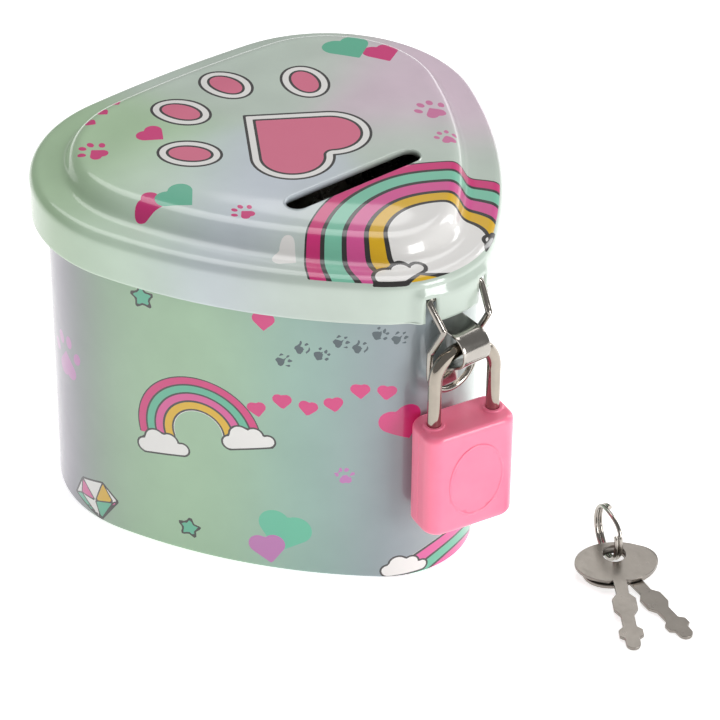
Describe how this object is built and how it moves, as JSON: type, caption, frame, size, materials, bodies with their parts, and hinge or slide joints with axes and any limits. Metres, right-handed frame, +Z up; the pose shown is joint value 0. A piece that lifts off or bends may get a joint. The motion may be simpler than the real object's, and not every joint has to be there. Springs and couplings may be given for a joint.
{
  "type": "tin money box",
  "caption": "Soft three-cornered printed tin with a hinged domed lid, coin slot, wire hasp, hanging padlock and keys on a split ring.",
  "frame": {"origin": "centre of the base panel's underside, on the surface that the box stands on", "axes": "+Z up, -Y towards the narrow front with the hasp, +Y towards the broad back with the hinge, +X to the right seen from the front"},
  "size_m": [0.107, 0.1557, 0.0854],
  "materials": {
    "printed_tin": "gloss",
    "bare_tin": "satin",
    "nickel_strip": "polished",
    "steel_wire": "polished",
    "plated_shackle": "polished",
    "pink_plastic": "gloss",
    "brass_plug": "satin",
    "key_steel": "satin"
  },
  "bodies": {
    "tin_body": {"body_wall": "printed_tin", "body_seam": "bare_tin", "base_panel": "bare_tin", "staple_strap": "nickel_strip", "hinge_body_leaf": "nickel_strip", "hinge_body_rivets": "nickel_strip", "hinge_pin": "steel_wire"},
    "lid": {"lid_shell": "printed_tin", "hinge_lid_leaf": "nickel_strip", "hinge_lid_rivets": "nickel_strip"},
    "bail": {"bail_wire": "steel_wire"},
    "shackle": {"shackle": "plated_shackle"},
    "lock_case": {"lock_case_front": "pink_plastic", "lock_case_back": "pink_plastic", "case_rivets": "steel_wire", "keyhole_plate": "nickel_strip", "shackle_spring": "steel_wire", "shackle_stop_pin": "steel_wire", "latch_spring": "steel_wire"},
    "key_plug": {"key_plug": "brass_plug"},
    "latch": {"latch_bolt": "nickel_strip"},
    "key_ring": {"split_ring": "steel_wire"},
    "key_a": {"key_a": "key_steel"},
    "key_b": {"key_b": "key_steel"}
  },
  "joints": [
    {"name": "lid_hinge", "type": "hinge", "parent": "tin_body", "child": "lid", "pos_m": [0, 0.0531, 0.0684], "axis": [-1, 0, 0], "range_deg": [0, 100]},
    {"name": "bail_swing", "type": "hinge", "parent": "tin_body", "child": "bail", "pos_m": [0, -0.0508, 0.075], "axis": [-1, 0, 0], "range_deg": [-1, 1]},
    {"name": "padlock_swing", "type": "hinge", "parent": "tin_body", "child": "shackle", "pos_m": [0, -0.055, 0.0629], "axis": [-0.9848, 0.1736, 0], "range_deg": [-0.5, 25]},
    {"name": "case_drop", "type": "slide", "parent": "shackle", "child": "lock_case", "axis": [0, 0, -1], "range_m": [0, 0.005], "stiffness_N_per_m": 60, "springref_m": -0.005, "deforming": ["shackle_spring"]},
    {"name": "key_turn", "type": "hinge", "parent": "lock_case", "child": "key_plug", "pos_m": [0, -0.055, 0.03], "axis": [0, 0, -1], "range_deg": [0, 90]},
    {"name": "latch_slide", "type": "slide", "parent": "lock_case", "child": "latch", "axis": [0.9848, -0.1736, 0], "range_m": [0, 0.0024], "deforming": ["latch_spring"]},
    {"name": "ring_lift", "type": "slide", "parent": "tin_body", "child": "key_ring", "axis": [0, 0, 1], "range_m": [0, 0.06]},
    {"name": "key_a_turn", "type": "hinge", "parent": "key_ring", "child": "key_a", "pos_m": [0.0305, -0.072, 0.002], "axis": [0, 0, 1], "range_deg": [-15, 4]},
    {"name": "key_b_turn", "type": "hinge", "parent": "key_ring", "child": "key_b", "pos_m": [0.0305, -0.072, 0.001], "axis": [0, 0, 1], "range_deg": [-4, 15]}
  ],
  "couplings": [
    {"joint": "key_turn", "follows": "case_drop", "rad_per_m": 314.16},
    {"joint": "latch_slide", "follows": "case_drop", "ratio": 0.48}
  ]
}
